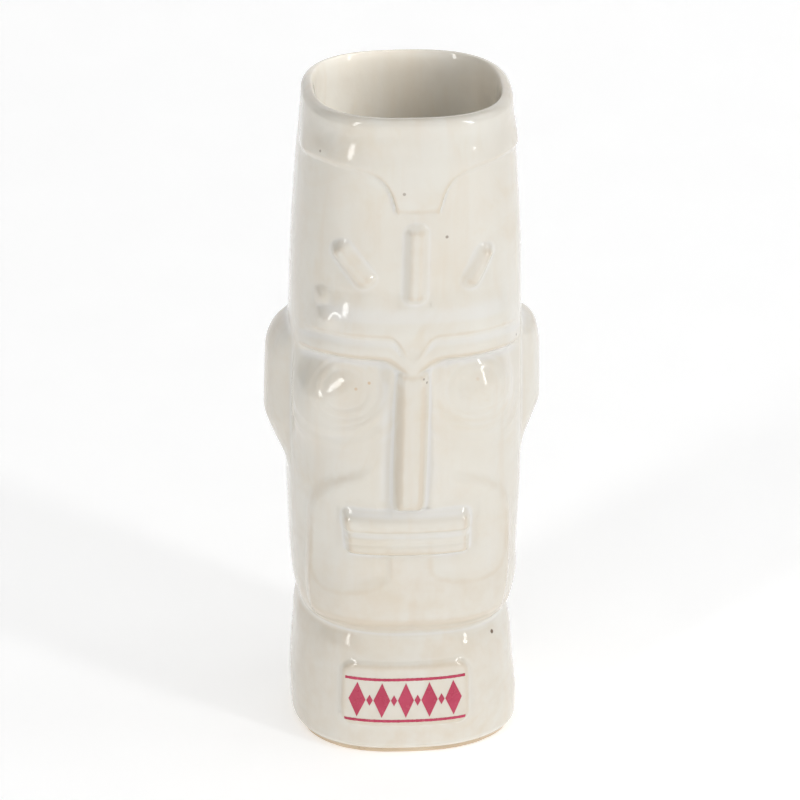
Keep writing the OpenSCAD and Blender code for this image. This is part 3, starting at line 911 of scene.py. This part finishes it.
def mottle(tree, place, scale, low, high):
    """A value that drifts between low and high over the surface."""
    return remap(tree, noise(tree, place, scale, 3), 0.3, 0.7, low, high)


def math_node(tree, kind, a, b):
    """The sum or product of two values, each of them a socket or a number."""
    node = tree.nodes.new("ShaderNodeMath")
    node.operation = kind
    for i, value in enumerate((a, b)):
        if isinstance(value, (int, float)):
            node.inputs[i].default_value = value
        else:
            tree.links.new(value, node.inputs[i])
    return node.outputs[0]


def tint(tree, factor, below, colour):
    """Lays a colour over what is below by a factor."""
    node = tree.nodes.new("ShaderNodeMix")
    node.data_type = "RGBA"
    tree.links.new(factor, node.inputs[0])
    for entry, value in ((node.inputs[6], below), (node.inputs[7], colour)):
        if isinstance(value, tuple):
            entry.default_value = (*value, 1)
        else:
            tree.links.new(value, entry)
    return node.outputs[2]


def wash(tree, pattern, share, below, colour):
    """Lays a colour over what is below where a pattern is high, up to a share."""
    return tint(tree, math_node(tree, "MULTIPLY", pattern, share), below, colour)


def bump(tree, shader, layers):
    """Stacks bumps, each a height, a strength and a depth in metres, finest first."""
    normal = None
    for height, strength, distance in layers:
        node = tree.nodes.new("ShaderNodeBump")
        node.inputs["Strength"].default_value = strength
        node.inputs["Distance"].default_value = distance
        tree.links.new(height, node.inputs["Height"])
        if normal:
            tree.links.new(normal, node.inputs["Normal"])
        normal = node.outputs[0]
    tree.links.new(normal, shader.inputs["Normal"])


# Iron specks and rust-coloured spots in the glaze: t, z, radius in millimetres, strength
SPECKS = ((25.4, 33.3, 0.42, 0.95), (8.3, 158.5, 0.3, 0.6), (-3.0, 171.5, 0.3, 0.5),
          (-26.4, 180.5, 0.26, 0.5), (29.9, 123.9, 0.26, 0.7), (2.3, 118.2, 0.24, 0.5),
          (3.1, 116.9, 0.26, 0.6))
SPECK_COLOUR = (0.16, 0.10, 0.06)
RUST_SPOTS = ((-11.3, 115.3, 0.3, 0.5), (-14.6, 113.3, 0.3, 0.4), (16.2, 115.6, 0.34, 0.14))
RUST_COLOUR = (0.62, 0.36, 0.12)


def glaze_material():
    """Cream glaze over buff clay: stained, streaked down the side, buff where it ran thin and where
    painted shade is added, and whiter where it pooled and where painted light is added.
    """
    material, tree, shader, place = new_material("glaze")
    attribute = tree.nodes.new("ShaderNodeAttribute")
    attribute.attribute_name = "thin_and_shade"
    thin_and_shade = attribute.outputs["Fac"]
    cloud = remap(tree, noise(tree, place, 26, 3, 0.55, 0.6), 0.3, 0.7)
    blotch = remap(tree, noise(tree, place, 75, 4, 0.6, 0.8), 0.42, 0.72)
    stain = remap(tree, noise(tree, place, 34, 4, 0.65, 1.2), 0.52, 0.72)
    runs = remap(tree, noise(tree, place, 110, 3, 0.55, 0.3, (1, 1, 0.13)), 0.38, 0.68)
    warm_runs = remap(tree, noise(tree, place, 190, 3, 0.55, 0.4, (1, 1, 0.1)), 0.5, 0.75)
    colour = tint(tree, cloud, (0.74, 0.69, 0.60), (0.775, 0.745, 0.67))
    for pattern, share, layer in ((blotch, 0.4, (0.745, 0.67, 0.565)),
                                  (stain, 0.42, (0.72, 0.63, 0.49)),
                                  (runs, 0.24, (0.79, 0.78, 0.74)),
                                  (warm_runs, 0.3, (0.73, 0.64, 0.52))):
        colour = wash(tree, pattern, share, colour, layer)
    # The buff tint carries thin glaze on edges and the painted shade from the carved lines; the white
    # tint carries pooled glaze and the painted light
    broken_and_shaded = math_node(tree, "ADD", thin_and_shade, mottle(tree, place, 240, -0.12, 0.12))
    colour = tint(tree, remap(tree, broken_and_shaded, 0.05, 0.9, 0.0, 0.5), colour, (0.66, 0.55, 0.41))
    colour = tint(tree, remap(tree, thin_and_shade, -0.05, -0.8, 0.0, 0.6), colour, (0.80, 0.795, 0.78))
    marks = [(*mark, SPECK_COLOUR) for mark in SPECKS]
    marks += [(*mark, RUST_COLOUR) for mark in RUST_SPOTS]
    for t, z, radius, strength, mark_colour in marks:
        away = tree.nodes.new("ShaderNodeVectorMath")
        away.operation = "DISTANCE"
        tree.links.new(place, away.inputs[0])
        at = np.array([float(t)]), np.array([float(z)])
        away.inputs[1].default_value = tuple(skin(*at, relief(*at))[0] * MM)
        mark = remap(tree, away.outputs["Value"], radius * MM, radius * 1.9 * MM, strength, 0.0)
        colour = tint(tree, mark, colour, mark_colour)
    tree.links.new(colour, shader.inputs["Base Color"])
    tree.links.new(mottle(tree, place, 140, 0.05, 0.11), shader.inputs["Roughness"])
    shader.inputs["IOR"].default_value = 1.58
    bump(tree, shader, ((noise(tree, place, 1000, 2), 0.16, 0.00006),
                        (noise(tree, place, 330, 2, 0.5, 0.5), 0.32, 0.00014),
                        (noise(tree, place, 90, 2, 0.5, 0.6), 0.55, 0.00032)))
    return material


def clay_material():
    """Unglazed buff clay with dark grit."""
    material, tree, shader, place = new_material("bare_clay")
    cloud = remap(tree, noise(tree, place, 60, 4, 0.6), 0.3, 0.7)
    colour = tint(tree, cloud, (0.60, 0.47, 0.33), (0.70, 0.58, 0.43))
    grit = remap(tree, noise(tree, place, 900, 2, 0.6), 0.62, 0.75)
    colour = wash(tree, grit, 0.6, colour, (0.30, 0.21, 0.14))
    tree.links.new(colour, shader.inputs["Base Color"])
    tree.links.new(mottle(tree, place, 300, 0.72, 0.92), shader.inputs["Roughness"])
    bump(tree, shader, ((noise(tree, place, 1400, 3, 0.65), 0.5, 0.00012),))
    return material


def print_material():
    """Crimson enamel, a little worn."""
    material, tree, shader, place = new_material("crimson_print")
    cloud = remap(tree, noise(tree, place, 120, 3, 0.6), 0.3, 0.7)
    colour = tint(tree, cloud, (0.47, 0.035, 0.085), (0.55, 0.055, 0.12))
    worn = remap(tree, noise(tree, place, 1500, 3, 0.7), 0.68, 0.8)
    colour = wash(tree, worn, 0.5, colour, (0.72, 0.55, 0.50))
    tree.links.new(colour, shader.inputs["Base Color"])
    tree.links.new(mottle(tree, place, 500, 0.16, 0.3), shader.inputs["Roughness"])
    bump(tree, shader, ((noise(tree, place, 800, 2), 0.2, 0.00004),))
    return material


def floor_material():
    """White studio paper that glows a little, as if it were lit from all round."""
    material, tree, shader, place = new_material("studio_paper")
    grain = remap(tree, noise(tree, place, 30, 2), 0.2, 0.8)
    colour = tint(tree, grain, (0.90, 0.90, 0.90), (0.92, 0.92, 0.92))
    tree.links.new(colour, shader.inputs["Base Color"])
    shader.inputs["Roughness"].default_value = 0.9
    shader.inputs["Emission Color"].default_value = (1, 1, 1, 1)
    shader.inputs["Emission Strength"].default_value = 0.36
    return material


# Each piece's material and slot, where they aren't the glaze
FINISHES = {"foot_ring": (clay_material(), "bare_clay"), "printed_band": (print_material(), "print")}
GLAZED = (glaze_material(), "glaze")
for piece_name, piece in pieces.items():
    material, slot = FINISHES.get(piece_name, GLAZED)
    piece.data.materials.append(material)
    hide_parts(piece_name)
    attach(piece, "root")


# ---- Studio ----

# A paper sweep that runs up behind the mug: (y, z) in metres
sweep = [(-0.9, 0), (0.55, 0), (0.75, 0.02), (0.92, 0.09), (1.03, 0.22), (1.08, 0.42), (1.1, 1.3)]
sweep_points = [(x / MM, y / MM, z / MM) for y, z in sweep for x in (-1.6, 1.6)]
sweep_faces = [(2 * i, 2 * i + 1, 2 * i + 3, 2 * i + 2) for i in range(len(sweep) - 1)]
floor = make_object("floor", sweep_points, sweep_faces, sharp=180)
floor.data.materials.append(floor_material())

world = bpy.data.worlds.new("studio")
bpy.context.scene.world = world
world.use_nodes = True
sky = world.node_tree
sky.nodes["Background"].inputs[0].default_value = (1, 1, 1, 1)
direction = sky.nodes.new("ShaderNodeTexCoord").outputs["Generated"]


def towards(azimuth, elevation):
    """A direction out from the mug: azimuth 0 is in front of it and 90 on the viewer's right."""
    a, e = math.radians(azimuth), math.radians(elevation)
    return Vector((math.sin(a) * math.cos(e), -math.cos(a) * math.cos(e), math.sin(e)))


def facing(azimuth, elevation):
    """How far a direction in the sky lies towards the given one, from -1 to 1."""
    node = sky.nodes.new("ShaderNodeVectorMath")
    node.operation = "DOT_PRODUCT"
    node.inputs[1].default_value = towards(azimuth, elevation)
    sky.links.new(direction, node.inputs[0])
    return node.outputs["Value"]


# The sky is dim overhead and bright low down, most of all in front on the viewer's right
low_walls = remap(sky, facing(0, 90), 0.0, 0.45, 1.0, 0.3)
bright_side = remap(sky, facing(40, 0), -0.7, 0.8, 0.06, 0.77)
sky.links.new(math_node(sky, "MULTIPLY", low_walls, bright_side), sky.nodes["Background"].inputs[1])


def stand(name, light, target, azimuth, elevation, distance):
    """Stands a light out from a target, and points it there."""
    back = towards(azimuth, elevation)
    lamp = bpy.data.objects.new(name, light)
    lamp.location = target + back * distance
    lamp.rotation_euler = back.to_track_quat("Z", "Y").to_euler()
    bpy.context.scene.collection.objects.link(lamp)


def softbox(name, azimuth, elevation, distance, width, height, power):
    """A rectangular lamp: distance and sizes in metres, power in watts."""
    light = bpy.data.lights.new(name, "AREA")
    light.shape = "RECTANGLE"
    light.size, light.size_y = width, height
    light.energy = power
    stand(name, light, Vector((0, 0, 0.1)), azimuth, elevation, distance)


def snoot(name, azimuth, elevation, distance, target, half_angle, power):
    """A narrow soft cone of light that reaches into the cup over its rim."""
    light = bpy.data.lights.new(name, "SPOT")
    light.spot_size = math.radians(2 * half_angle)
    light.spot_blend = 1
    light.shadow_soft_size = 0.008
    light.energy = power
    stand(name, light, Vector(target) * MM, azimuth, elevation, distance)


softbox("key_left", -45, 26, 1.3, 0.14, 1.1, 3.4)
softbox("key_right", 48, 27, 1.3, 0.11, 1.0, 3.1)
softbox("side_right", 90, 44, 1.3, 0.8, 0.8, 2.2)
softbox("front", 6, 30, 1.6, 2.4, 1.4, 4.5)
softbox("overhead", 10, 78, 1.3, 1.2, 1.2, 2.8)
snoot("cup_lamp", 62, 50, 0.7, (-4, 9, 189), 1.8, 24)

scene = bpy.context.scene
scene.view_settings.view_transform = "Standard"
scene.view_settings.look = "None"
scene.view_settings.exposure = 0
scene.view_settings.gamma = 1

# The photograph's view: degrees, metres for the distance, and millimetres for where the line of
# sight passes beside the mug's axis and how high
CAMERA_AZIMUTH = -5.15
CAMERA_ELEVATION = 25.05
CAMERA_ROLL = 0.62
CAMERA_DISTANCE = 1.5
AIM_BESIDE = -0.93
AIM_Z = 96.24

lens = bpy.data.cameras.new("camera")
lens.lens = 240.73
lens.sensor_width = 36
lens.clip_end = 20
camera = bpy.data.objects.new("camera", lens)
scene.collection.objects.link(camera)
azimuth, roll = math.radians(CAMERA_AZIMUTH), math.radians(CAMERA_ROLL)
back = towards(CAMERA_AZIMUTH, CAMERA_ELEVATION)
right = (-back).cross(Vector((0, 0, 1))).normalized()
up = right.cross(-back)
turned_right = right * math.cos(roll) + up * math.sin(roll)
turned_up = up * math.cos(roll) - right * math.sin(roll)
aim = Vector((AIM_BESIDE * math.cos(azimuth), AIM_BESIDE * math.sin(azimuth), AIM_Z)) * MM
turned = Matrix([turned_right, turned_up, back]).transposed().to_4x4()
camera.matrix_world = Matrix.Translation(aim + back * CAMERA_DISTANCE) @ turned
scene.camera = camera
